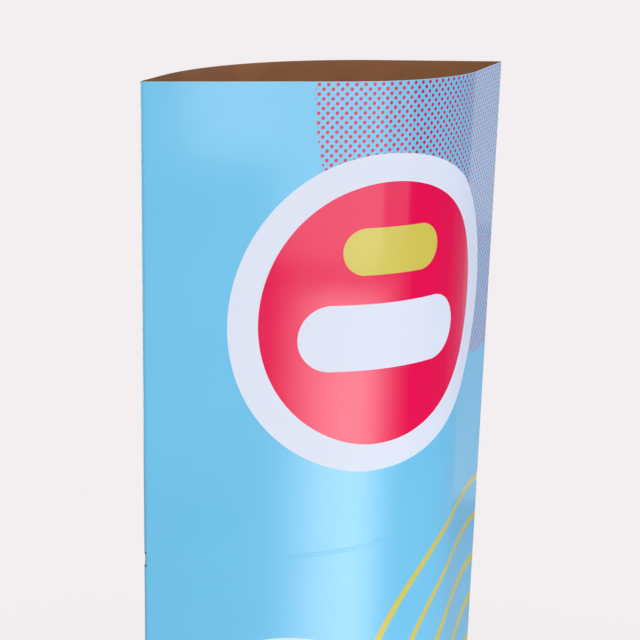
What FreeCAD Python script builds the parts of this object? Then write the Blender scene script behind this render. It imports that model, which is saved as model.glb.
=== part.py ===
import FreeCAD, Part
import math
import os

import Sketcher

# Pop-up display totem: a tall printed sleeve of thin board, glued at one side fold and bowed to a lens by
# three folded spreaders, each pulled open by a taut elastic band. It stands on its bottom edge.
# Millimetres. X runs from fold to fold, the front panel bows towards -Y, Z is up from the floor.

SIZES = {
    # sleeve
    "opened_width": 454.0,
    "section_height": 510.0,
    "section_count": 3,
    "sleeve_board": 1.5,
    "fold_radius": 3.0,
    # each panel leaves both folds as a straight wing, at an angle to the line from fold to fold
    "front_depth": 94.5,
    "front_left_angle": 22.4,
    "front_right_angle": 35.0,
    "back_depth": 91.8,
    "back_left_angle": 38.0,
    "back_right_angle": 26.5,
    "flap_width": 28.0,
    # double score lines between the sections, and the relief slots that let the side folds turn there
    "score_spacing": 5.0,
    "score_width": 1.2,
    "score_depth": 0.5,
    "relief_height": 20.0,
    "relief_depth": 2.0,
    # spreaders
    "spreader_height": 90.0,
    "spreader_board": 1.5,
    "spreader_reach": 160.0,
    "glue_face_width": 100.0,
    "glue_line": 0.3,
    "corner_radius": 2.0,
    "seam_overlap": 30.0,
    "slot_depth": 22.0,
    "slot_width": 3.0,
    # elastic bands
    "band_gap": 12.0,
    "band_thickness": 1.2,
    "band_height": 5.0,
    "band_seat": 0.2,
}

ORIGIN = (-1, 1)
FIRST_EXTERNAL = -3
START, END, CENTRE = 1, 2, 3
SAME_POINT = 1e-4


def make_sheet(doc):
    sheet = doc.addObject("Spreadsheet::Sheet", "Sizes")
    for row, (name, number) in enumerate(SIZES.items(), start=1):
        sheet.set(f"A{row}", name)
        sheet.set(f"B{row}", str(number))
        sheet.setAlias(f"B{row}", name)
    doc.recompute()
    return sheet


def make_body(doc, name):
    body = doc.addObject("PartDesign::Body", name)
    body.Label = name
    return body


def make_sketch(body, name, role="XY_Plane", height="0"):
    sketch = body.newObject("Sketcher::SketchObject", name)
    plane = next(item for item in body.Origin.OriginFeatures if item.Role == role)
    sketch.AttachmentSupport = (plane, [""])
    sketch.MapMode = "FlatFace"
    sketch.setExpression("AttachmentOffset.Base.z", height)
    return sketch


def make_feature(body, kind, name, sketch, length):
    feature = body.newObject(f"PartDesign::{kind}", name)
    feature.Profile = sketch
    feature.setExpression("Length", length)
    body.Document.recompute()
    return feature


def value(sketch, expression):
    """The present value of an expression of the sheet, with an angle in radians."""
    number = sketch.evalExpression(expression)
    if isinstance(number, FreeCAD.Units.Quantity):
        return math.radians(number.getValueAs("deg").Value)
    return float(number)


def bind(sketch, kind, *geometry, expression):
    """Add a dimension whose value follows an expression of the sheet."""
    constraint = Sketcher.Constraint(kind, *geometry, value(sketch, expression))
    index = sketch.addConstraint(constraint)
    sketch.setExpression(f"Constraints[{index}]", expression)


def join(sketch, kind, *geometry):
    sketch.addConstraint(Sketcher.Constraint(kind, *geometry))


class Circle:
    """Where an arc of a wall is drawn before the constraints hold it."""

    def __init__(self, x, y, size):
        self.centre = FreeCAD.Vector(x, y, 0)
        self.size = size

    def at(self, angle):
        return self.centre + FreeCAD.Vector(math.cos(angle), math.sin(angle), 0) * self.size

    def spot(self, angle):
        """A point of the circle, as a circle of no size."""
        point = self.at(angle)
        return Circle(point.x, point.y, 0)


def tangent_angle(first, second):
    """Direction of the normal of the line that touches two circles on the right of the way between them."""
    way = second.centre - first.centre
    return math.atan2(way.y, way.x) - math.acos((first.size - second.size) / way.Length)


def add_arc(sketch, circle, start, end, guide=False):
    shape = Part.Circle(circle.centre, FreeCAD.Vector(0, 0, 1), circle.size)
    turn = (end - start) % (2 * math.pi)
    return sketch.addGeometry(Part.ArcOfCircle(shape, start, start + turn), guide)


def hold_circle(sketch, arc, x, y, radius):
    """Bind an arc's centre and radius to expressions."""
    bind(sketch, "DistanceX", *ORIGIN, arc, CENTRE, expression=x)
    bind(sketch, "DistanceY", *ORIGIN, arc, CENTRE, expression=y)
    bind(sketch, "Radius", arc, expression=radius)


def add_line(sketch, start, end, guide=False):
    return sketch.addGeometry(Part.LineSegment(start, end), guide)


def add_loop(sketch, corners):
    """Draw a closed loop of straight lines, each joined to the next."""
    count = len(corners)
    sides = [add_line(sketch, corners[i], corners[(i + 1) % count]) for i in range(count)]
    for i in range(count):
        join(sketch, "Coincident", sides[i], END, sides[(i + 1) % count], START)
    return sides


def crown_circle(sketch, panel, side, fold, inset):
    """The circle that touches both wings of a panel and reaches its depth."""
    depth = value(sketch, f"Sizes.{panel}_depth") - inset
    left = math.radians(value(sketch, f"Sizes.{panel}_left_angle"))
    right = math.radians(value(sketch, f"Sizes.{panel}_right_angle"))
    reach = fold.centre.x
    left_share = (math.sin(left) * reach + fold.size - depth * math.cos(left)) / math.sin(left)
    right_share = (math.sin(right) * reach + fold.size - depth * math.cos(right)) / math.sin(right)
    left_half = (1 - math.cos(left)) / math.sin(left)
    right_half = (1 - math.cos(right)) / math.sin(right)
    radius = (left_share + right_share) / (left_half + right_half)
    return Circle(left_half * radius - left_share, side * (depth - radius), radius)


def hold_crown(sketch, arc, circle, side, depth):
    """Make an arc's crown reach a depth from the line between the folds, behind it (1) or in front (-1)."""
    crown = sketch.addGeometry(Part.Point(circle.at(side * math.pi / 2)), True)
    join(sketch, "PointOnObject", crown, START, arc)
    join(sketch, "Vertical", crown, START, arc, CENTRE)
    bind(sketch, "DistanceY", *ORIGIN, crown, START, expression=f"{side} * ({depth})")


def draw_lens(sketch, inset, guide=False):
    """Draw the sleeve's plan, set in from its outer face: two crowns, two folds and four straight wings."""
    depth_in = value(sketch, inset)
    fold_x = "(Sizes.opened_width / 2 - Sizes.fold_radius)"
    fold_radius = f"Sizes.fold_radius - ({inset})"
    right = Circle(value(sketch, fold_x), 0, value(sketch, fold_radius))
    left = Circle(-right.centre.x, 0, right.size)
    back = crown_circle(sketch, "back", 1, right, depth_in)
    front = crown_circle(sketch, "front", -1, right, depth_in)
    circles = [right, back, left, front]
    leave = [tangent_angle(circles[i - 1], circles[i]) for i in range(4)]
    arcs = [add_arc(sketch, circles[i], leave[i], leave[(i + 1) % 4], guide) for i in range(4)]
    wings = []
    for i in range(4):
        after = (i + 1) % 4
        angle = leave[after]
        wing = add_line(sketch, circles[i].at(angle), circles[after].at(angle), guide)
        join(sketch, "Tangent", arcs[i], END, wing, START)
        join(sketch, "Tangent", wing, END, arcs[after], START)
        wings.append(wing)
    hold_circle(sketch, arcs[0], fold_x, "0", fold_radius)
    hold_circle(sketch, arcs[2], f"-{fold_x}", "0", fold_radius)
    bind(sketch, "Angle", wings[0], expression="180 deg - Sizes.back_right_angle * 1 deg")
    bind(sketch, "Angle", wings[1], expression="180 deg + Sizes.back_left_angle * 1 deg")
    bind(sketch, "Angle", wings[2], expression="-Sizes.front_left_angle * 1 deg")
    bind(sketch, "Angle", wings[3], expression="Sizes.front_right_angle * 1 deg")
    hold_crown(sketch, arcs[1], back, 1, f"Sizes.back_depth - ({inset})")
    hold_crown(sketch, arcs[3], front, -1, f"Sizes.front_depth - ({inset})")
    return {"back": (back, arcs[1]), "front": (front, arcs[3]), "wings": wings}


def edge_name(sketch, index):
    """Name of the edge that a straight line of a finished sketch became."""
    line = sketch.Geometry[index]
    middle = sketch.Placement.multVec((line.StartPoint + line.EndPoint) / 2)
    for number, edge in enumerate(sketch.Shape.Edges, start=1):
        if (edge.CenterOfMass - middle).Length < SAME_POINT:
            return f"Edge{number}"
    raise RuntimeError(f"{sketch.Label} has no edge for its line {index}")


def add_lap(body, section, wall, length, thickness, height, base="0"):
    """Pad a second layer of board against the inner face of a straight wall, from the wall's start."""
    sketch = make_sketch(body, "lap_plan", height=base)
    sketch.addExternal(section.Name, edge_name(section, wall))
    line = section.Geometry[wall]
    along = (line.EndPoint - line.StartPoint).normalize()
    across = FreeCAD.Vector(-along.y, along.x, 0)
    long_side = along * value(sketch, length)
    short_side = across * value(sketch, thickness)
    corner = line.StartPoint
    corners = [corner, corner + long_side, corner + long_side + short_side, corner + short_side]
    sides = add_loop(sketch, corners)
    join(sketch, "Coincident", sides[0], START, FIRST_EXTERNAL, START)
    join(sketch, "PointOnObject", sides[0], END, FIRST_EXTERNAL)
    join(sketch, "Perpendicular", sides[0], sides[1])
    join(sketch, "Parallel", sides[0], sides[2])
    join(sketch, "Parallel", sides[1], sides[3])
    bind(sketch, "Distance", sides[0], expression=length)
    bind(sketch, "Distance", sides[1], expression=thickness)
    return make_feature(body, "Pad", "lap", sketch, height)


def add_rectangle(sketch, left, bottom, width, height):
    """Draw an upright rectangle from expressions of its lower left corner and its size."""
    x0, y0, across, up = (value(sketch, term) for term in (left, bottom, width, height))
    corners = [
        FreeCAD.Vector(x0, y0, 0),
        FreeCAD.Vector(x0 + across, y0, 0),
        FreeCAD.Vector(x0 + across, y0 + up, 0),
        FreeCAD.Vector(x0, y0 + up, 0),
    ]
    sides = add_loop(sketch, corners)
    join(sketch, "Horizontal", sides[0])
    join(sketch, "Vertical", sides[1])
    join(sketch, "Horizontal", sides[2])
    join(sketch, "Vertical", sides[3])
    bind(sketch, "DistanceX", *ORIGIN, sides[0], START, expression=left)
    bind(sketch, "DistanceY", *ORIGIN, sides[0], START, expression=bottom)
    bind(sketch, "DistanceX", sides[0], START, sides[0], END, expression=width)
    bind(sketch, "DistanceY", sides[1], START, sides[1], END, expression=height)


def score_sleeve(body, crease):
    """Press the double score line of one crease into the printed face, all the way round."""
    for side in (-1, 1):
        top = (
            f"Sizes.section_height * {crease} + Sizes.score_spacing / 2 * {side}"
            " + Sizes.score_width / 2"
        )
        ring = make_sketch(body, "score_ring", height=top)
        draw_lens(ring, "Sizes.score_depth")
        draw_lens(ring, "-Sizes.score_depth")
        make_feature(body, "Pocket", "score", ring, "Sizes.score_width")


def relieve_folds(body, creases):
    """Cut the slots through both side folds at each crease."""
    sketch = make_sketch(body, "relief_slots", role="XZ_Plane")
    past = "Sizes.fold_radius"
    width = f"Sizes.relief_depth + {past}"
    for crease in creases:
        bottom = f"Sizes.section_height * {crease} - Sizes.relief_height / 2"
        for left in ("Sizes.opened_width / 2 - Sizes.relief_depth", f"-Sizes.opened_width / 2 - {past}"):
            add_rectangle(sketch, left, bottom, width, "Sizes.relief_height")
    slots = body.newObject("PartDesign::Pocket", "relief")
    slots.Profile = sketch
    slots.Type = "ThroughAll"
    slots.SideType = "Symmetric"
    body.Document.recompute()


def make_sleeve(doc):
    body = make_body(doc, "sleeve")
    section = make_sketch(body, "lens_plan")
    draw_lens(section, "0")
    inner = draw_lens(section, "Sizes.sleeve_board")
    total_height = "Sizes.section_height * Sizes.section_count"
    make_feature(body, "Pad", "tube", section, total_height)
    flap_width, board = "Sizes.flap_width", "Sizes.sleeve_board"
    flap = add_lap(body, section, inner["wings"][2], flap_width, board, total_height)
    flap.Label = "glue_flap"
    creases = range(1, int(doc.Sizes.section_count))
    for crease in creases:
        score_sleeve(body, crease)
    relieve_folds(body, creases)
    return body


def draw_strip(sketch, lining, inset, outer_walls=None):
    """Draw a spreader's plan, set in from its outer face: two glued faces, two corners, four walls."""
    corner_x = "(Sizes.spreader_reach - Sizes.corner_radius)"
    corner_radius = f"Sizes.corner_radius - ({inset})"
    half_face = "Sizes.glue_face_width / 2"
    right = Circle(value(sketch, corner_x), 0, value(sketch, corner_radius))
    left = Circle(-right.centre.x, 0, right.size)
    arcs, starts, ends = {}, {}, {}
    for panel, side, middle in (("back", 1, 0.5 * math.pi), ("front", -1, 1.5 * math.pi)):
        around, guide_arc = lining[panel]
        face = Circle(around.centre.x, around.centre.y, around.size - value(sketch, inset))
        half_turn = math.asin(value(sketch, half_face) / face.size)
        arc = add_arc(sketch, face, middle - half_turn, middle + half_turn)
        join(sketch, "Coincident", arc, CENTRE, guide_arc, CENTRE)
        within = f"Sizes.sleeve_board - Sizes.glue_line - ({inset})"
        hold_crown(sketch, arc, face, side, f"Sizes.{panel}_depth - {within}")
        arcs[panel] = arc
        starts[panel] = face.spot(middle - half_turn)
        ends[panel] = face.spot(middle + half_turn)
    walls = []
    for before, corner, x, after in (
        ("front", right, corner_x, "back"),
        ("back", left, f"-{corner_x}", "front"),
    ):
        arrive = tangent_angle(ends[before], corner)
        leave = tangent_angle(corner, starts[after])
        turn = add_arc(sketch, corner, arrive, leave)
        hold_circle(sketch, turn, x, "0", corner_radius)
        inward = add_line(sketch, ends[before].centre, corner.at(arrive))
        outward = add_line(sketch, corner.at(leave), starts[after].centre)
        join(sketch, "Coincident", arcs[before], END, inward, START)
        join(sketch, "Tangent", inward, END, turn, START)
        join(sketch, "Tangent", turn, END, outward, START)
        join(sketch, "Coincident", outward, END, arcs[after], START)
        walls += [inward, outward]
    if outer_walls is None:
        for panel, lower, upper in (("back", END, START), ("front", START, END)):
            arc = arcs[panel]
            bind(sketch, "DistanceX", arc, lower, arc, CENTRE, expression=half_face)
            bind(sketch, "DistanceX", arc, CENTRE, arc, upper, expression=half_face)
    else:
        for wall, outer_wall in zip(walls, outer_walls):
            join(sketch, "Parallel", wall, outer_wall)
    return walls


def make_spreader(doc, level):
    """One folded hexagonal strip, glued to both crowns at the middle of its section."""
    body = make_body(doc, f"spreader_{level}")
    base = f"Sizes.section_height * ({level} - 0.5) - Sizes.spreader_height / 2"
    section = make_sketch(body, "strip_plan", height=base)
    lining = draw_lens(section, "Sizes.sleeve_board + Sizes.glue_line", guide=True)
    outer_walls = draw_strip(section, lining, "0")
    inner_walls = draw_strip(section, lining, "Sizes.spreader_board", outer_walls)
    make_feature(body, "Pad", "strip", section, "Sizes.spreader_height")
    overlap, board = "Sizes.seam_overlap", "Sizes.spreader_board"
    seam = add_lap(body, section, inner_walls[0], overlap, board, "Sizes.spreader_height", base)
    seam.Label = f"seam_{level}"
    slots = make_sketch(body, "slot_plan", height=f"{base} + Sizes.spreader_height")
    past = "(Sizes.spreader_reach + Sizes.corner_radius)"
    strand = "(Sizes.band_gap + Sizes.band_thickness) / 2"
    for side in (-1, 1):
        bottom = f"{side} * {strand} - Sizes.slot_width / 2"
        add_rectangle(slots, f"-{past}", bottom, f"2 * {past}", "Sizes.slot_width")
    make_feature(body, "Pocket", "band_slots", slots, "Sizes.slot_depth")
    return body


def draw_stretched_loop(sketch, offset):
    """Draw a long loop with half-round ends, round the corners of a spreader."""
    radius = f"Sizes.band_gap / 2 + {offset}"
    end_x = "(Sizes.spreader_reach + Sizes.band_seat - Sizes.band_gap / 2)"
    right = Circle(value(sketch, end_x), 0, value(sketch, radius))
    left = Circle(-right.centre.x, 0, right.size)
    up, down = 0.5 * math.pi, 1.5 * math.pi
    right_arc = add_arc(sketch, right, down, up)
    left_arc = add_arc(sketch, left, up, down)
    hold_circle(sketch, right_arc, end_x, "0", radius)
    hold_circle(sketch, left_arc, f"-{end_x}", "0", radius)
    back = add_line(sketch, right.at(up), left.at(up))
    front = add_line(sketch, left.at(down), right.at(down))
    for arc, line, after in ((right_arc, back, left_arc), (left_arc, front, right_arc)):
        join(sketch, "Tangent", arc, END, line, START)
        join(sketch, "Tangent", line, END, after, START)


def make_band(doc, level):
    """The elastic loop that lies in the slots of a spreader and draws its two corners together."""
    body = make_body(doc, f"band_{level}")
    slot_floor = (
        f"Sizes.section_height * ({level} - 0.5) + Sizes.spreader_height / 2 - Sizes.slot_depth"
    )
    section = make_sketch(body, "loop_plan", height=slot_floor)
    draw_stretched_loop(section, "0")
    draw_stretched_loop(section, "Sizes.band_thickness")
    make_feature(body, "Pad", "loop", section, "Sizes.band_height")
    return body


def report_problems(doc, bodies):
    for item in doc.Objects:
        bad = {"Invalid", "Error"} & set(item.State)
        if bad:
            raise RuntimeError(f"{item.Name} ({item.Label}) is {bad}")
    for body in bodies:
        if body.Shape.isNull() or not body.Shape.isValid():
            raise RuntimeError(f"{body.Label} has no valid shape")


doc = FreeCAD.newDocument("display_totem")
make_sheet(doc)
bodies = [make_sleeve(doc)]
for level in range(1, int(doc.Sizes.section_count) + 1):
    bodies.append(make_spreader(doc, level))
    bodies.append(make_band(doc, level))
doc.recompute()
report_problems(doc, bodies)
os.makedirs("parts", exist_ok=True)
for body in bodies:
    body.Shape.exportStep(f"parts/{body.Label}.step")
    print(body.Label, len(body.Shape.Solids), round(body.Shape.Volume, 1), body.Shape.BoundBox)
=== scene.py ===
"""Cardboard display stand: a printed sleeve on two folds, held open by spreaders and elastic bands.

Lengths are in metres and heights above the floor, unless a name ends in _MM. The print is placed in
millimetres, along the board from the left fold and down from the rim.
"""

import math

import bpy
from mathutils import Matrix, Vector, noise


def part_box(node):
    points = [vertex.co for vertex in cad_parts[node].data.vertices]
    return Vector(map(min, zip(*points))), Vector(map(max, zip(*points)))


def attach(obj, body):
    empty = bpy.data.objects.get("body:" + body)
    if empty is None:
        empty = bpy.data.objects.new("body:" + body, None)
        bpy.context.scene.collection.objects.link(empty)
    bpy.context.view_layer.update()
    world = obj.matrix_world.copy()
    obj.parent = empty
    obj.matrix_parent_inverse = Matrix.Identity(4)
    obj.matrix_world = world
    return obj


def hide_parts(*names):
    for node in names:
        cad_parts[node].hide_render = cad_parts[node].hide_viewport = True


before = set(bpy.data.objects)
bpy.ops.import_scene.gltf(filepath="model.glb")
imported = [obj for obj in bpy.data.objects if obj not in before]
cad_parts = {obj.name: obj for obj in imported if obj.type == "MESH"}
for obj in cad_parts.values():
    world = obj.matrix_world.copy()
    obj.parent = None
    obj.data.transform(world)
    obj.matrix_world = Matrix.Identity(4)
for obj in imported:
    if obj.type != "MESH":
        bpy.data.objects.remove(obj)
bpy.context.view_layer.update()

MM = 0.001
SLEEVE_LOW, SLEEVE_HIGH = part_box("sleeve")
HEIGHT = SLEEVE_HIGH.z
SECTION = HEIGHT / 3
CREASES = SECTION, 2 * SECTION
HALF_WIDTH = SLEEVE_HIGH.x
FRONT_DEPTH, BACK_DEPTH = -SLEEVE_LOW.y, SLEEVE_HIGH.y

# plan of the sleeve, as in the part's source
FOLD_RADIUS = 3 * MM
FRONT_ANGLES = math.radians(22.4), math.radians(35.0)
BACK_ANGLES = math.radians(38.0), math.radians(26.5)
BOARD = 1.5 * MM
LAP_WIDTH = 28 * MM

# spacing of the mesh round the plan and up the sleeve
CROWN_STEP, WING_STEP, FOLD_STEP = 4 * MM, 8 * MM, 0.8 * MM
WING_MARGIN = 2.4 * MM
ROW_STEP, ROWS_BELOW, ROWS_ABOVE = 0.28 * MM, 15, 31
WIDE_ROW_STEP, WIDE_ROW_GAP = 24 * MM, 5 * MM

# corrugated board
LINER = 0.28 * MM
FLUTE_PITCH = 3.3 * MM
FLUTE_PAPER = 0.2 * MM
FLUTE_DEPTH = 7 * MM
FLUTE_PLAY = 0.02 * MM
FLUTE_CUT_GAP, FLUTE_END_GAP = 0.1 * MM, 0.05 * MM
FLUTE_SAMPLES = 10
WAVE_DEPTH = 0.3 * MM
WAVE_ACROSS, WAVE_UP = 7, 3.2
WAVE_CALM = 40 * MM

# glued lap
LAP_START = BOARD + 0.05 * MM
LAP_FOLD_GAP = 4.5 * MM
LAP_MARGIN, LAP_SLANT = 3 * MM, 9 * MM
LAP_PLAIN_END = 20 * MM
LAP_GRAIN_STEP = 0.03

# creases: two score lines, which rise and press deeper where the front is buckled
SCORE_SPACING = 3.4 * MM
SCORE_DEPTH = 0.25 * MM
SCORE_WIDTH = 0.4 * MM
SCORE_BAND = 12 * MM
FAINT_SCORE = 0.3
BUCKLE_START, BUCKLE_END, BUCKLE_SOFT = 156 * MM, 262 * MM, 8 * MM
BUCKLE_MIDDLE, BUCKLE_SLOPE, BUCKLE_CURVE = 178 * MM, 0.055, 0.4
BUCKLE_LOW, BUCKLE_HIGH = -2 * MM, 6.5 * MM
RISE_IN, RISE_OUT = 60 * MM, 80 * MM

# relief slots in the folds, and the dents round them
RELIEF_HALF = 8.6 * MM
RELIEF_LIFT = 6.7 * MM
SLIT_START = 6.2 * MM
SLIT_REACH = HALF_WIDTH - 1.1 * MM
DENT_DEPTH, DENT_REACH = 1.0 * MM, 14 * MM

# camera, fitted to the photograph
CAMERA_SPOT = (-0.8925, -1.2917, 1.7163)
CAMERA_YAW, CAMERA_PITCH, CAMERA_ROLL = 34.325, 16.276, 1.516
CAMERA_LENS, CAMERA_SENSOR = 83.84, 36.0

# floor and backdrop: near the stand the floor takes its shadow, further off it melts into the backdrop
BACKGROUND = (0.896, 0.855, 0.871)
FLOOR_COLOUR = (0.5, 0.48, 0.485)
FLOOR_HALF = 40.0
FLOOR_NEAR, FLOOR_FAR = 0.5, 2.0
FLOOR_SHARE = 0.72
WORLD_COLOUR, WORLD_LIGHT = (1.0, 0.99, 0.98), 0.19

# lamps: name, place, what it faces, width, height, watts, tint
PLAIN, COOL = (1.0, 1.0, 1.0), (0.85, 0.93, 1.1)
LAMPS = (
    ("front_far_left", (-0.63, -1.4, 0.98), (-0.63, 0.0, 0.98), 0.34, 0.9, 0.36, PLAIN),
    ("front_high", (0.0, -1.4, 1.3), (0.0, 0.0, 1.3), 0.8, 0.6, 2.8, PLAIN),
    ("front_high_right", (0.7, -1.4, 1.3), (0.7, 0.0, 1.3), 0.6, 0.6, 0.93, PLAIN),
    ("front_rim", (-0.43, -1.4, 1.45), (-0.43, 0.0, 1.45), 0.3, 0.5, 1.05, PLAIN),
    ("top", (-1.2, -1.2, 2.4), (0.0, 0.0, 1.3), 0.8, 0.8, 18.5, PLAIN),
    ("side_high", (2.18, -0.56, 1.9), (0.1, 0.0, 1.0), 1.3, 0.9, 21.0, COOL),
    ("right", (2.1, 0.78, 0.9), (0.2, 0.0, 0.7), 0.55, 1.6, 1.0, COOL),
    ("right_high", (2.1, 0.78, 1.25), (0.2, 0.0, 1.25), 0.55, 0.7, 0.28, PLAIN),
    ("right_near", (2.1, 0.3, 0.9), (0.2, 0.0, 0.7), 0.45, 1.6, 0.42, COOL),
    ("right_nearer", (2.1, -0.12, 0.9), (0.2, 0.0, 0.7), 0.4, 1.6, 0.18, COOL),
    ("left", (-2.3, 0.3, 0.9), (0.0, 0.0, 0.8), 1.4, 1.4, 4.0, PLAIN),
    ("back_left", (-1.3, 2.2, 0.8), (0.0, 0.0, 0.8), 1.2, 1.2, 22.0, PLAIN),
    ("back_right", (1.3, 2.2, 0.8), (0.0, 0.0, 0.8), 1.2, 1.2, 22.0, PLAIN),
)

# the softbox that the lower front mirrors, brightest left of the middle and fading to the right
SOFTBOX_Y, SOFTBOX_Z, SOFTBOX_HEIGHT = -1.4, 0.5, 0.9
SOFTBOX_WATTS = 12.6  # for each metre of width, at full brightness
SOFTBOX_STRIPS = (  # from, to, brightness
    (-0.375, -0.34, 0.3), (-0.34, -0.305, 0.65), (-0.305, 0.08, 1.0), (0.08, 0.18, 0.93),
    (0.18, 0.28, 0.83), (0.28, 0.38, 0.69), (0.38, 0.48, 0.55), (0.48, 0.58, 0.42),
    (0.58, 0.68, 0.31), (0.68, 0.8, 0.21), (0.8, 0.95, 0.12), (0.95, 1.15, 0.06),
)


# plan of the sleeve


class Circle:
    def __init__(self, x, y, radius):
        self.centre, self.radius = Vector((x, y)), radius

    def at(self, angle):
        return self.centre + self.radius * Vector((math.cos(angle), math.sin(angle)))


def crown_circle(side, depth, angles):
    """The crown between two straight wings that touch the folds at the given angles."""
    left, right = angles
    reach = HALF_WIDTH - FOLD_RADIUS
    left_share = (math.sin(left) * reach + FOLD_RADIUS - depth * math.cos(left)) / math.sin(left)
    right_share = (math.sin(right) * reach + FOLD_RADIUS - depth * math.cos(right)) / math.sin(right)
    left_half = (1 - math.cos(left)) / math.sin(left)
    right_half = (1 - math.cos(right)) / math.sin(right)
    radius = (left_share + right_share) / (left_half + right_half)
    return Circle(left_half * radius - left_share, side * (depth - radius), radius)


def tangent_angle(first, second):
    """Where the outer tangent of two circles, taken counterclockwise, leaves the first one."""
    way = second.centre - first.centre
    return math.atan2(way.y, way.x) - math.acos((first.radius - second.radius) / way.length)


class Station:
    """A place on the outer outline: point, outward normal and distance along the sheet."""

    def __init__(self, point, normal, along):
        self.point, self.normal, self.along = point, normal, along

    def inset(self, depth):
        return self.point - depth * self.normal


def add_arc(stations, circle, start, end, step):
    """Stations round a circle from start to end, after the last one of the outline so far."""
    count = max(2, math.ceil(circle.radius * (end - start) / step))
    base = stations[-1].along if stations else 0.0
    for k in range(1 if stations else 0, count + 1):
        angle = start + (end - start) * k / count
        normal = Vector((math.cos(angle), math.sin(angle)))
        along = base + circle.radius * (angle - start)
        stations.append(Station(circle.at(angle), normal, along))


def add_wing(stations, end_point):
    """Straight run to end_point, with a short first and last step beside the folds."""
    first = stations[-1]
    way = end_point - first.point
    length = way.length
    open_length = length - 2 * WING_MARGIN
    count = max(1, math.ceil(open_length / WING_STEP))
    marks = [WING_MARGIN + open_length * k / count for k in range(count + 1)] + [length]
    for mark in marks:
        stations.append(Station(first.point + way * (mark / length), first.normal, first.along + mark))


def belt():
    """Stations once round the sleeve, counterclockwise from the middle of the left fold."""
    reach = HALF_WIDTH - FOLD_RADIUS
    circles = [
        Circle(-reach, 0, FOLD_RADIUS),
        crown_circle(-1, FRONT_DEPTH, FRONT_ANGLES),
        Circle(reach, 0, FOLD_RADIUS),
        crown_circle(1, BACK_DEPTH, BACK_ANGLES),
    ]
    stations = []
    start = math.pi
    for k, circle in enumerate(circles):
        after = circles[(k + 1) % len(circles)]
        leave = tangent_angle(circle, after)
        while leave < start:
            leave += 2 * math.pi
        add_arc(stations, circle, start, leave, CROWN_STEP if k % 2 else FOLD_STEP)
        add_wing(stations, after.at(leave))
        start = leave
    add_arc(stations, circles[0], start, 3 * math.pi, FOLD_STEP)
    return stations


PLAN = belt()
FULL_LENGTH = PLAN[-1].along
PANEL = FULL_LENGTH / 2


# unevenness of the board


def wave(station, z):
    """Slow unevenness of the board, always inward from the outline."""
    place = Vector((station.point.x * WAVE_ACROSS, station.point.y * WAVE_ACROSS, z * WAVE_UP))
    calm = min(1.0, (HALF_WIDTH - abs(station.point.x)) / WAVE_CALM)
    return WAVE_DEPTH * calm * (0.5 + 0.5 * noise.noise(place))


def soft_step(value, start, width):
    share = min(1.0, max(0.0, (value - start) / width))
    return share * share * (3 - 2 * share)


def score_rise(along):
    """How far the middle of a crease lies above its section's end, where the front is buckled."""
    away = along - BUCKLE_MIDDLE
    rise = away * BUCKLE_SLOPE + away * abs(away) * BUCKLE_CURVE
    rise = min(BUCKLE_HIGH, max(BUCKLE_LOW, rise))
    return rise * soft_step(along, BUCKLE_START - RISE_IN, RISE_IN) * soft_step(-along, -PANEL, RISE_OUT)


def score(station, z):
    """How far the two score lines of a crease press the board in: deepest where the front is buckled."""
    total = 0.0
    for crease in CREASES:
        if abs(z - crease) > SCORE_BAND:
            continue
        along = station.along % PANEL
        buckled = soft_step(along, BUCKLE_START - BUCKLE_SOFT, BUCKLE_SOFT)
        buckled *= soft_step(-along, -BUCKLE_END, BUCKLE_SOFT)
        middle = crease + score_rise(along)
        for side in (-1, 1):
            off = (z - middle - side * SCORE_SPACING / 2) / SCORE_WIDTH
            total += (FAINT_SCORE + (1 - FAINT_SCORE) * buckled) * math.exp(-off * off)
    return SCORE_DEPTH * total


def off_relief(z):
    """Distance to the middle of the nearest relief, over its half height."""
    return min(abs(z - crease - RELIEF_LIFT) for crease in CREASES) / RELIEF_HALF


def dent(x, z):
    """How far a side fold is pushed towards the middle where a crease crosses it."""
    away = off_relief(z)
    near = 1 - (HALF_WIDTH - abs(x)) / DENT_REACH
    if away >= 1 or near <= 0:
        return 0.0
    return DENT_DEPTH * (1 - away * away) ** 1.5 * near * near * (3 - 2 * near)


def board_point(station, depth, z):
    """The point of the board at a station, this deep under its outer face."""
    flat = station.inset(depth + wave(station, z) + score(station, z))
    push = dent(station.point.x, z)
    return flat.x - math.copysign(push, flat.x), flat.y, z


# meshes


class Sheet:
    """Collects vertices and faces, with a material and sheet coordinates for each face."""

    def __init__(self, name):
        self.name, self.points, self.faces, self.slots, self.flat = name, [], [], [], []

    def row(self, stations, depth, height):
        """Vertices at one depth and height, each a number or a rule for a station."""
        first = len(self.points)
        for s in stations:
            deep = depth(s) if callable(depth) else depth
            z = height(s) if callable(height) else height
            self.points.append(board_point(s, deep, z))
        return list(range(first, len(self.points)))

    def quad(self, corners, slot, flat):
        self.faces.append(corners)
        self.slots.append(slot)
        self.flat.append(flat)

    def strip(self, lower, upper, along, heights, slot, closed=True):
        """Quads between two rows of the same stations."""
        low, high = heights
        count = len(along) - 1
        for i in range(count):
            j = (i + 1) % count if closed else i + 1
            flat = ((along[i], low), (along[i + 1], low), (along[i + 1], high), (along[i], high))
            self.quad((lower[i], lower[j], upper[j], upper[i]), slot, flat)

    def build(self, materials, sharp=35):
        mesh = bpy.data.meshes.new(self.name)
        mesh.from_pydata(self.points, [], self.faces)
        for material in materials:
            mesh.materials.append(material)
        layer = mesh.uv_layers.new(name="sheet")
        for polygon, slot, flat in zip(mesh.polygons, self.slots, self.flat):
            polygon.material_index = slot
            polygon.use_smooth = True
            for loop, uv in zip(polygon.loop_indices, flat):
                layer.data[loop].uv = uv
        mesh.set_sharp_from_angle(angle=math.radians(sharp))
        mesh.validate()
        thing = bpy.data.objects.new(self.name, mesh)
        bpy.context.scene.collection.objects.link(thing)
        return thing


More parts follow.
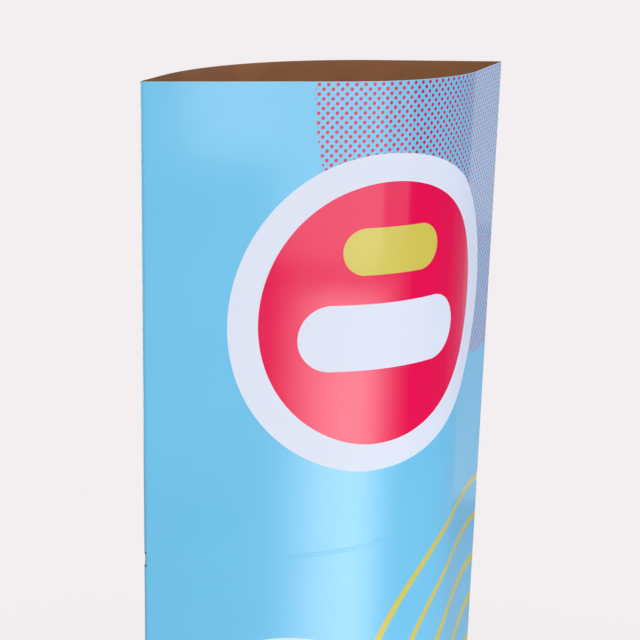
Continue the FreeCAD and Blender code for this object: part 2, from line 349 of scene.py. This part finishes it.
def sleeve_levels():
    """Heights of the mesh rows: close together at the creases, wide apart elsewhere."""
    levels = {0.0, HEIGHT}
    for crease in CREASES:
        levels |= {round(crease + k * ROW_STEP, 6) for k in range(-ROWS_BELOW, ROWS_ABOVE + 1)}
        middle = crease + RELIEF_LIFT
        levels |= {middle + side * off for side in (-1, 1) for off in (SLIT_START, RELIEF_HALF)}
    steady = [k * WIDE_ROW_STEP for k in range(1, math.floor(HEIGHT / WIDE_ROW_STEP) + 1)]
    levels |= {z for z in steady if min(abs(z - other) for other in levels) > WIDE_ROW_GAP}
    return sorted(levels)


PRINTED, BROWN, BROWN_CUT, WHITE_CUT = range(4)


def make_sleeve(materials):
    """The corrugated board once round: printed face, brown face, cut edges and relief slots."""
    sheet = Sheet("sleeve_wall")
    ring = PLAN[:-1]
    along = [s.along for s in PLAN]
    levels = sleeve_levels()
    outer = [sheet.row(ring, 0, z) for z in levels]
    inner = [sheet.row(ring, BOARD, z) for z in levels]
    count, last = len(ring), len(levels) - 1

    def present(i, k):
        a, b = ring[i % count].point, ring[(i + 1) % count].point
        far = min(abs(a.x), abs(b.x)) > SLIT_REACH
        cut = SLIT_START / RELIEF_HALF < off_relief((levels[k] + levels[k + 1]) / 2) < 1
        return not (far and cut)

    for k in range(last):
        low, high = levels[k], levels[k + 1]
        for i in range(count):
            if not present(i, k):
                continue
            j = (i + 1) % count
            u, v = along[i], along[i + 1]
            flat = ((u, low), (v, low), (v, high), (u, high))
            back = ((v, low), (u, low), (u, high), (v, high))
            sheet.quad((outer[k][i], outer[k][j], outer[k + 1][j], outer[k + 1][i]), PRINTED, flat)
            sheet.quad((inner[k][j], inner[k][i], inner[k + 1][i], inner[k + 1][j]), BROWN, back)
            if not present(i + 1, k):
                side = (outer[k][j], inner[k][j], inner[k + 1][j], outer[k + 1][j])
                sheet.quad(side, BROWN_CUT, flat)
            if not present(i - 1, k):
                side = (inner[k][i], outer[k][i], outer[k + 1][i], inner[k + 1][i])
                sheet.quad(side, BROWN_CUT, flat)
            if k < last - 1 and not present(i, k + 1):
                side = (outer[k + 1][i], outer[k + 1][j], inner[k + 1][j], inner[k + 1][i])
                sheet.quad(side, BROWN_CUT, flat)
            if k > 0 and not present(i, k - 1):
                side = (inner[k][i], inner[k][j], outer[k][j], outer[k][i])
                sheet.quad(side, BROWN_CUT, flat)
    cut_edge(sheet, ring, along, outer[last], inner[last], HEIGHT, HEIGHT - FLUTE_DEPTH)
    cut_edge(sheet, ring, along, outer[0], inner[0], 0.0, FLUTE_DEPTH)
    return sheet.build(materials)


def cut_edge(sheet, ring, along, outer, inner, z, deeper):
    """Edge of the board: two liners with the open space of the fluting between them."""
    rows = [outer]
    for depth, height in ((LINER, z), (LINER, deeper), (BOARD - LINER, deeper), (BOARD - LINER, z)):
        rows.append(sheet.row(ring, depth, height))
    rows.append(inner)
    for k, slot in enumerate((WHITE_CUT, BROWN_CUT, BROWN_CUT, BROWN_CUT, BROWN_CUT)):
        pair = rows[k], rows[k + 1]
        sheet.strip(*(pair if deeper < z else pair[::-1]), along, (z, z), slot)


def fine_stations(count):
    """Stations at even distances once round the sheet."""
    fine, k = [], 0
    for n in range(count):
        along = FULL_LENGTH * n / count
        while PLAN[k + 1].along < along:
            k += 1
        a, b = PLAN[k], PLAN[k + 1]
        share = (along - a.along) / (b.along - a.along)
        normal = a.normal.lerp(b.normal, share).normalized()
        fine.append(Station(a.point.lerp(b.point, share), normal, along))
    return fine


def make_fluting(materials):
    """The wavy paper between the liners, seen in the rim and in the bottom edge."""
    sheet = Sheet("sleeve_fluting")
    waves = round(FULL_LENGTH / FLUTE_PITCH)
    fine = fine_stations(waves * FLUTE_SAMPLES)
    marks = [s.along for s in fine] + [FULL_LENGTH]
    depth = (BOARD - 2 * LINER - FLUTE_PAPER) / 2 - FLUTE_PLAY

    def swing(s):
        return BOARD / 2 + depth * math.sin(2 * math.pi * waves * s.along / FULL_LENGTH)

    ends = (
        (HEIGHT - FLUTE_DEPTH + FLUTE_END_GAP, HEIGHT - FLUTE_CUT_GAP),
        (FLUTE_CUT_GAP, FLUTE_DEPTH - FLUTE_END_GAP),
    )
    for low, high in ends:
        rows = []
        for half, z in ((-0.5, low), (-0.5, high), (0.5, high), (0.5, low)):
            rows.append(sheet.row(fine, lambda s, h=half: swing(s) + h * FLUTE_PAPER, z))
        for a, b in ((0, 1), (1, 2), (2, 3), (3, 0)):
            sheet.strip(rows[a], rows[b], marks, (low, high), 0)
    return sheet.build(materials, sharp=60)


def lap_stations():
    """Stations from just past the left fold to the free edge of the lap."""
    fold_end = next(k for k, s in enumerate(PLAN) if s.point.x > -HALF_WIDTH + LAP_FOLD_GAP)
    stations = [s for s in PLAN[fold_end:] if s.along < LAP_WIDTH]
    last = stations[-1]
    after = PLAN[PLAN.index(last) + 1]
    share = (LAP_WIDTH - last.along) / (after.along - last.along)
    stations.append(Station(last.point.lerp(after.point, share), last.normal, LAP_WIDTH))
    return stations


def make_lap(materials):
    """The glued lap that closes the tube, inside the front board beside the left fold."""
    sheet = Sheet("glue_lap")
    face, edge = 0, 1
    stations = lap_stations()
    along = [s.along for s in stations]

    def top(s):
        return HEIGHT - LAP_MARGIN - LAP_SLANT * (s.along / LAP_WIDTH)

    def bottom(s):
        return LAP_MARGIN + LAP_SLANT * (s.along / LAP_WIDTH)

    between = [z for z in sleeve_levels() if LAP_PLAIN_END < z < HEIGHT - LAP_PLAIN_END]
    heights = [bottom] + between + [top]
    near = [sheet.row(stations, LAP_START, z) for z in heights]
    far = [sheet.row(stations, LAP_START + BOARD, z) for z in heights]
    for k in range(len(heights) - 1):
        grain = (k * LAP_GRAIN_STEP, k * LAP_GRAIN_STEP + LAP_GRAIN_STEP)
        sheet.strip(near[k], near[k + 1], along, grain, face, closed=False)
        sheet.strip(far[k + 1], far[k], along, grain, face, closed=False)
        for i, turn in ((len(along) - 1, False), (0, True)):
            corners = (near[k][i], far[k][i], far[k + 1][i], near[k + 1][i])
            sheet.quad(corners[::-1] if turn else corners, edge, ((0, 0),) * 4)
    sheet.strip(near[-1], far[-1], along, (0, 0), edge, closed=False)
    sheet.strip(far[0], near[0], along, (0, 0), edge, closed=False)
    return sheet.build(materials)


# materials


def bare_tree(owner, output):
    """The empty node tree of a material or world, and its output node."""
    owner.use_nodes = True
    owner.node_tree.nodes.clear()
    return owner.node_tree, owner.node_tree.nodes.new(output)


class Paint:
    """A material's nodes, written as short sums."""

    def __init__(self, name):
        self.material = bpy.data.materials.new(name)
        self.tree, out = bare_tree(self.material, "ShaderNodeOutputMaterial")
        self.shader = self.tree.nodes.new("ShaderNodeBsdfPrincipled")
        self.tree.links.new(self.shader.outputs[0], out.inputs[0])

    def put(self, socket, value):
        if isinstance(value, bpy.types.NodeSocket):
            self.tree.links.new(value, socket)
        elif isinstance(value, tuple) and len(value) == 3 and socket.type == "RGBA":
            socket.default_value = (*value, 1.0)
        else:
            socket.default_value = value

    def set(self, name, value):
        self.put(self.shader.inputs[name], value)

    def math(self, operation, *values):
        node = self.tree.nodes.new("ShaderNodeMath")
        node.operation = operation
        for socket, value in zip(node.inputs, values):
            self.put(socket, value)
        return node.outputs[0]

    def add(self, a, b):
        return self.math("ADD", a, b)

    def sub(self, a, b):
        return self.math("SUBTRACT", a, b)

    def times(self, a, b):
        return self.math("MULTIPLY", a, b)

    def over(self, a, b):
        return self.math("DIVIDE", a, b)

    def least(self, a, b):
        return self.math("MINIMUM", a, b)

    def most(self, a, b):
        return self.math("MAXIMUM", a, b)

    def size(self, a):
        return self.math("ABSOLUTE", a)

    def past(self, a, b):
        """1 where a is greater than b, 0 elsewhere."""
        return self.math("GREATER_THAN", a, b)

    def ramp(self, value, start, end, low=0.0, high=1.0):
        node = self.tree.nodes.new("ShaderNodeMapRange")
        node.interpolation_type = "SMOOTHSTEP"
        for socket, part in zip(node.inputs, (value, start, end, low, high)):
            self.put(socket, part)
        return node.outputs[0]

    def inside(self, distance, edge, soft):
        """1 where distance is below edge, 0 above, over a soft width."""
        return self.ramp(distance, edge - soft, edge + soft, 1.0, 0.0)

    def mix(self, share, a, b):
        """Colour a where share is 0, colour b where share is 1."""
        node = self.tree.nodes.new("ShaderNodeMix")
        node.data_type = "RGBA"
        self.put(node.inputs["Factor"], share)
        self.put(node.inputs[6], a)
        self.put(node.inputs[7], b)
        return node.outputs[2]

    def choose(self, share, a, b):
        """Number a where share is 0, number b where share is 1."""
        return self.add(a, self.times(share, self.sub(b, a)))

    def vector(self, x, y, z=0.0):
        node = self.tree.nodes.new("ShaderNodeCombineXYZ")
        for socket, value in zip(node.inputs, (x, y, z)):
            self.put(socket, value)
        return node.outputs[0]

    def split(self, vector):
        node = self.tree.nodes.new("ShaderNodeSeparateXYZ")
        self.put(node.inputs[0], vector)
        return node.outputs

    def length(self, x, y):
        return self.math("SQRT", self.add(self.times(x, x), self.times(y, y)))

    def noise(self, place, scale, detail=3.0, rough=0.5):
        node = self.tree.nodes.new("ShaderNodeTexNoise")
        node.inputs["Scale"].default_value = scale
        node.inputs["Detail"].default_value = detail
        node.inputs["Roughness"].default_value = rough
        self.put(node.inputs["Vector"], place)
        return node.outputs[0]

    def sheet(self):
        """Distance along the sheet and height, in millimetres."""
        node = self.tree.nodes.new("ShaderNodeUVMap")
        node.uv_map = "sheet"
        along, height, _ = self.split(node.outputs[0])
        return self.times(along, 1 / MM), self.times(height, 1 / MM)

    def place(self):
        node = self.tree.nodes.new("ShaderNodeTexCoord")
        return node.outputs["Object"]

    def bump(self, height, metres):
        """Relief from a height of 0 to 1 that stands this many metres."""
        node = self.tree.nodes.new("ShaderNodeBump")
        node.inputs["Strength"].default_value = 1.0
        node.inputs["Distance"].default_value = metres
        self.put(node.inputs["Height"], height)
        self.set("Normal", node.outputs[0])


def linear(red, green, blue):
    """A colour from its display values, 0 to 255."""
    def one(v):
        v /= 255
        return v / 12.92 if v <= 0.04045 else ((v + 0.055) / 1.055) ** 2.4
    return one(red), one(green), one(blue)


def shade(colour, share):
    return tuple(c * share for c in colour)


BLUE = linear(111, 193, 232)
RED = linear(229, 0, 78)
WHITE = linear(216, 222, 238)
YELLOW = linear(208, 194, 84)
DOT_RED = linear(207, 0, 80)
PAPER = linear(214, 222, 230)
KRAFT = linear(176, 120, 81)
BROWN_EDGE = linear(170, 124, 86)
WHITE_EDGE = linear(225, 222, 214)
RUBBER, RUBBER_BLOOM = linear(222, 205, 168), linear(208, 186, 146)

# the print, in millimetres on a panel: along from its left fold, down from the rim
HEIGHT_MM = HEIGHT * 1000
PANEL_MM = PANEL * 1000
SECTION_MM = SECTION * 1000
PERIOD_MM = 2 * SECTION * 1000
FLUTE_PITCH_MM = FLUTE_PITCH * 1000
DOT_FIELD, LOW_DOT_FIELD = (494.8, 8.6, 322.3), (494.8, 395.0, 270.0)
DOT_PITCH, DOT_START = 9.5, (204.75, 21.85)
DOT_RADIUS = 1.98
YELLOW_RINGS = (  # middle, radius, how much flatter the lower half is, half width of the line
    (463.6, 725.1, 226.6, 1.0, 4.3), (472.4, 742.7, 193.0, 1.0, 4.3), (480.3, 768.0, 161.5, 1.25, 5.7),
    (495.0, 768.7, 106.9, 1.3, 6.2), (503.5, 771.0, 54.5, 1.3, 5.6),
)
ROUNDELS = (249.8, 244.7, 1.0), (140.0, 741.3, 0.78)  # middle and size
# reach to the left, to the right and up or down, lean, and how far the middle is shifted
ROUNDEL_RING = (163.3, 193.6, 172.1, 0.026, 0.0, 0.5)
ROUNDEL_DISC = (135.9, 149.5, 142.3, 0.029, 4.4, -0.1)
# the bars that stand for the words: middle, half length and radius
WHITE_BAR = (8.0, 22.0, 98.0, 36.0)
YELLOW_BAR = (14.0, -70.0, 58.0, 25.0)
FIELD_SOFT, DOT_SOFT, LINE_SOFT, ROUNDEL_SOFT = 0.1, 0.12, 0.15, 0.001
WEAR_WIDTH, WEAR_EDGE, WEAR_SOFT, WEAR_SHARE = 1.4, -0.3, 0.25, 0.45
FILM_ROUGHNESS, BARE_ROUGHNESS = (0.11, 0.135), 0.6


def egg(paint, along, down, shape):
    """Distance to the middle of a leaning round shape, 1 at its edge."""
    left, right, half, lean, shift, drop = shape
    y = paint.sub(down, drop)
    x = paint.add(paint.sub(along, shift), paint.times(y, lean))
    across = paint.over(x, paint.choose(paint.past(x, 0.0), left, right))
    return paint.length(across, paint.over(y, half))


def bar(paint, along, down, shape):
    """Distance to a bar with round ends."""
    x, y, half_length, radius = shape
    dx = paint.most(paint.sub(paint.size(paint.sub(along, x)), half_length - radius), 0.0)
    return paint.sub(paint.length(dx, paint.sub(down, y)), radius)


def dots(paint, across, drop, low):
    """1 on the dots of a diagonal lattice, inside a round field at the top of each print."""
    du = paint.over(paint.sub(across, DOT_START[0]), DOT_PITCH)
    dv = paint.over(paint.sub(drop, DOT_START[1]), DOT_PITCH)
    s, t = paint.add(du, dv), paint.sub(du, dv)
    s = paint.sub(s, paint.math("ROUND", s))
    t = paint.sub(t, paint.math("ROUND", t))
    from_dot = paint.times(paint.length(s, t), DOT_PITCH / math.sqrt(2))
    fields = []
    for x, y, reach in (DOT_FIELD, LOW_DOT_FIELD):
        away = paint.length(paint.sub(across, x), paint.sub(drop, y))
        fields.append(paint.inside(away, reach, FIELD_SOFT))
    return paint.times(paint.inside(from_dot, DOT_RADIUS, DOT_SOFT), paint.choose(low, *fields))


def yellow_rings(paint, across, drop):
    """1 on the five yellow lines."""
    nearest = None
    for x, y, radius, flatter, half in YELLOW_RINGS:
        below = paint.sub(drop, y)
        below = paint.most(paint.times(below, flatter), below)
        away = paint.size(paint.sub(paint.length(paint.sub(across, x), below), radius))
        away = paint.sub(away, half)
        nearest = away if nearest is None else paint.least(nearest, away)
    return paint.inside(nearest, 0.0, LINE_SOFT)


def roundel(paint, ink, across, drop):
    """The ink with a roundel over it, and 1 where its white shows no film."""
    second = paint.past(drop, SECTION_MM)
    (x1, y1, size1), (x2, y2, size2) = ROUNDELS
    size = paint.choose(second, size1, size2)
    dx = paint.over(paint.sub(across, paint.choose(second, x1, x2)), size)
    dy = paint.over(paint.sub(drop, paint.choose(second, y1, y2)), size)
    ring = paint.inside(egg(paint, dx, dy, ROUNDEL_RING), 1.0, ROUNDEL_SOFT)
    disc = paint.inside(egg(paint, dx, dy, ROUNDEL_DISC), 1.0, ROUNDEL_SOFT)
    white_bar = paint.inside(bar(paint, dx, dy, WHITE_BAR), 0.0, LINE_SOFT)
    yellow_bar = paint.inside(bar(paint, dx, dy, YELLOW_BAR), 0.0, LINE_SOFT)
    for share, colour in ((ring, WHITE), (disc, RED), (yellow_bar, YELLOW), (white_bar, WHITE)):
        ink = paint.mix(share, ink, colour)
    return ink, paint.most(paint.sub(ring, disc), white_bar)


def worn_edges(paint, across, down, drop):
    """1 where the ink is rubbed off, at the rim and at the folds."""
    grain = paint.noise(paint.vector(across, drop), scale=0.9, detail=4.0, rough=0.7)
    near_fold = paint.least(across, paint.size(paint.sub(across, PANEL_MM)))
    near_edge = paint.least(down, near_fold)
    return paint.inside(paint.sub(near_edge, paint.times(grain, WEAR_WIDTH)), WEAR_EDGE, WEAR_SOFT)


def printed_board():
    """Offset print under a satin film, over a white liner."""
    paint = Paint("printed_board")
    along, height = paint.sheet()
    down = paint.sub(HEIGHT_MM, height)
    across = paint.sub(along, paint.times(paint.past(along, PANEL_MM), PANEL_MM))
    low = paint.past(down, PERIOD_MM)
    drop = paint.sub(down, paint.times(low, PERIOD_MM))

    tone = paint.noise(paint.place(), scale=9.0, detail=2.0)
    ink = paint.mix(paint.ramp(tone, 0.3, 0.7), BLUE, shade(BLUE, 1.02))
    ink = paint.mix(dots(paint, across, drop, low), ink, DOT_RED)
    ink = paint.mix(yellow_rings(paint, across, drop), ink, YELLOW)
    ink, bare = roundel(paint, ink, across, drop)
    ink = paint.mix(paint.times(worn_edges(paint, across, down, drop), WEAR_SHARE), ink, PAPER)
    paint.set("Base Color", ink)

    satin = paint.ramp(paint.noise(paint.place(), scale=60.0, detail=4.0), 0.3, 0.7, *FILM_ROUGHNESS)
    paint.set("Roughness", paint.choose(bare, satin, BARE_ROUGHNESS))
    paint.set("Specular IOR Level", 0.65)
    flutes = paint.math("SINE", paint.times(along, 2 * math.pi / FLUTE_PITCH_MM))
    peel = paint.noise(paint.place(), scale=500.0, detail=2.0)
    paint.bump(paint.add(paint.times(flutes, 0.35), peel), 0.008 * MM)
    return paint.material


def brown_liner(paint, cloud, fibres, flecks, dark, light):
    """Colour of uncoated brown liner with clouds, fibres and flecks, and its dull surface."""
    colour = paint.mix(paint.ramp(cloud, 0.3, 0.7), shade(KRAFT, dark), shade(KRAFT, light))
    colour = paint.mix(paint.times(paint.ramp(fibres, 0.35, 0.7), 0.3), colour, shade(KRAFT, 0.72))
    colour = paint.mix(paint.times(paint.ramp(flecks, 0.62, 0.72), 0.35), colour, shade(KRAFT, 0.55))
    paint.set("Roughness", paint.ramp(fibres, 0.3, 0.7, 0.82, 0.94))
    paint.set("Specular IOR Level", 0.25)
    return colour


def kraft_board():
    """Brown face of the sheet, with the faint ridges of the fluting."""
    paint = Paint("brown_board")
    along, height = paint.sheet()
    flat = paint.vector(along, height)
    stretched = paint.vector(paint.times(along, 0.35), paint.times(height, 1.6))
    cloud = paint.noise(flat, scale=0.03, detail=3.0)
    fibres = paint.noise(stretched, scale=1.4, detail=5.0, rough=0.65)
    flecks = paint.noise(flat, scale=0.8, detail=2.0)
    ridges = paint.math("SINE", paint.times(along, 2 * math.pi / FLUTE_PITCH_MM))
    colour = brown_liner(paint, cloud, fibres, flecks, dark=0.92, light=1.06)
    colour = paint.mix(paint.ramp(ridges, -1.0, 1.0, 0.0, 0.08), colour, shade(KRAFT, 0.6))
    paint.set("Base Color", colour)
    paint.bump(paint.add(paint.times(ridges, 0.5), fibres), 0.03 * MM)
    return paint.material


def node_board():
    """Brown board for the carried-over spreaders, with the grain set in space."""
    paint = Paint("spreader_board")
    place = paint.place()
    x, y, z = paint.split(place)
    stretched = paint.vector(paint.times(x, 350.0), paint.times(y, 350.0), paint.times(z, 1600.0))
    cloud = paint.noise(place, scale=22.0, detail=3.0)
    fibres = paint.noise(stretched, scale=1.4, detail=5.0, rough=0.65)
    flecks = paint.noise(place, scale=800.0, detail=2.0)
    paint.set("Base Color", brown_liner(paint, cloud, fibres, flecks, dark=0.9, light=1.05))
    paint.bump(fibres, 0.04 * MM)
    return paint.material


def cut_paper(name, colour):
    """Cut edge of paper: torn fibres, no print."""
    paint = Paint(name)
    fuzz = paint.noise(paint.place(), scale=900.0, detail=4.0, rough=0.7)
    paint.set("Base Color", paint.mix(paint.ramp(fuzz, 0.3, 0.7), shade(colour, 0.8), colour))
    paint.set("Roughness", paint.ramp(fuzz, 0.3, 0.7, 0.85, 0.97))
    paint.bump(fuzz, 0.05 * MM)
    return paint.material


def elastic():
    """Natural rubber band: dull tan with a slight bloom."""
    paint = Paint("elastic")
    place = paint.place()
    bloom = paint.noise(place, scale=70.0, detail=4.0)
    speck = paint.noise(place, scale=1500.0, detail=2.0)
    paint.set("Base Color", paint.mix(paint.ramp(bloom, 0.3, 0.7), RUBBER, RUBBER_BLOOM))
    paint.set("Roughness", paint.ramp(speck, 0.3, 0.7, 0.42, 0.6))
    paint.bump(speck, 0.03 * MM)
    return paint.material


# studio


def floor_material():
    """Plain diffuse floor, mixed for the camera with the backdrop's colour, more so further off."""
    material = bpy.data.materials.new("studio_floor")
    tree, out = bare_tree(material, "ShaderNodeOutputMaterial")
    plain = tree.nodes.new("ShaderNodeBsdfDiffuse")
    plain.inputs[0].default_value = (*FLOOR_COLOUR, 1.0)
    glow = tree.nodes.new("ShaderNodeEmission")
    glow.inputs[0].default_value = (*BACKGROUND, 1.0)
    where = tree.nodes.new("ShaderNodeNewGeometry")
    away = tree.nodes.new("ShaderNodeVectorMath")
    away.operation = "LENGTH"
    glow_share = tree.nodes.new("ShaderNodeMapRange")
    glow_share.interpolation_type = "SMOOTHSTEP"
    for socket, value in zip(glow_share.inputs[1:5], (FLOOR_NEAR, FLOOR_FAR, FLOOR_SHARE, 1.0)):
        socket.default_value = value
    path = tree.nodes.new("ShaderNodeLightPath")
    share = tree.nodes.new("ShaderNodeMath")
    share.operation = "MULTIPLY"
    blend = tree.nodes.new("ShaderNodeMixShader")
    tree.links.new(where.outputs["Position"], away.inputs[0])
    tree.links.new(away.outputs["Value"], glow_share.inputs[0])
    tree.links.new(path.outputs["Is Camera Ray"], share.inputs[0])
    tree.links.new(glow_share.outputs[0], share.inputs[1])
    for source, socket in zip((share, plain, glow), blend.inputs):
        tree.links.new(source.outputs[0], socket)
    tree.links.new(blend.outputs[0], out.inputs[0])
    return material


def make_floor():
    mesh = bpy.data.meshes.new("studio_floor")
    corners = [(x * FLOOR_HALF, y * FLOOR_HALF, 0) for x, y in ((-1, -1), (1, -1), (1, 1), (-1, 1))]
    mesh.from_pydata(corners, [], [(0, 1, 2, 3)])
    mesh.materials.append(floor_material())
    floor = bpy.data.objects.new("studio_floor", mesh)
    bpy.context.scene.collection.objects.link(floor)


def make_world():
    """The backdrop's colour for the camera, a faint even light for everything else."""
    world = bpy.data.worlds.new("studio")
    bpy.context.scene.world = world
    tree, out = bare_tree(world, "ShaderNodeOutputWorld")
    seen = tree.nodes.new("ShaderNodeBackground")
    seen.inputs[0].default_value = (*BACKGROUND, 1.0)
    light = tree.nodes.new("ShaderNodeBackground")
    light.inputs[0].default_value = (*WORLD_COLOUR, 1.0)
    light.inputs[1].default_value = WORLD_LIGHT
    blend = tree.nodes.new("ShaderNodeMixShader")
    path = tree.nodes.new("ShaderNodeLightPath")
    tree.links.new(path.outputs["Is Camera Ray"], blend.inputs[0])
    tree.links.new(light.outputs[0], blend.inputs[1])
    tree.links.new(seen.outputs[0], blend.inputs[2])
    tree.links.new(blend.outputs[0], out.inputs[0])


def make_lamp(name, place, target, width, height, watts, tint):
    data = bpy.data.lights.new(name, "AREA")
    data.shape, data.size, data.size_y, data.energy = "RECTANGLE", width, height, watts
    data.color = tint
    lamp = bpy.data.objects.new(name, data)
    lamp.location = place
    lamp.rotation_euler = (Vector(target) - Vector(place)).to_track_quat("-Z", "Y").to_euler()
    lamp.visible_camera = False
    bpy.context.scene.collection.objects.link(lamp)


def make_softbox():
    for left, right, share in SOFTBOX_STRIPS:
        x, width = (left + right) / 2, right - left
        place, target = (x, SOFTBOX_Y, SOFTBOX_Z), (x, 0.0, SOFTBOX_Z)
        make_lamp("softbox", place, target, width, SOFTBOX_HEIGHT, SOFTBOX_WATTS * width * share, PLAIN)


def make_camera():
    data = bpy.data.cameras.new("camera")
    data.lens, data.sensor_width, data.sensor_fit = CAMERA_LENS, CAMERA_SENSOR, "HORIZONTAL"
    data.clip_start, data.clip_end = 0.05, 200.0
    camera = bpy.data.objects.new("camera", data)
    turn = (
        Matrix.Rotation(-math.radians(CAMERA_YAW), 4, "Z")
        @ Matrix.Rotation(math.radians(90 - CAMERA_PITCH), 4, "X")
        @ Matrix.Rotation(math.radians(CAMERA_ROLL), 4, "Z")
    )
    camera.matrix_world = Matrix.Translation(CAMERA_SPOT) @ turn
    bpy.context.scene.collection.objects.link(camera)
    bpy.context.scene.camera = camera


# the stand

make_camera()
make_world()
make_floor()
for lamp in LAMPS:
    make_lamp(*lamp)
make_softbox()
bpy.context.scene.view_settings.view_transform = "Standard"

print_face = printed_board()
brown_face = kraft_board()
brown_edge = cut_paper("cut_brown", BROWN_EDGE)
white_edge = cut_paper("cut_white", WHITE_EDGE)
spreader_face = node_board()
rubber = elastic()

sleeve = make_sleeve([print_face, brown_face, brown_edge, white_edge])
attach(sleeve, "root")
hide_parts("sleeve")
for piece in (make_fluting([brown_edge]), make_lap([brown_face, brown_edge])):
    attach(piece, "root")
for name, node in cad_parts.items():
    if name != "sleeve":
        node.data.materials.clear()
        node.data.materials.append(rubber if name.startswith("band") else spreader_face)
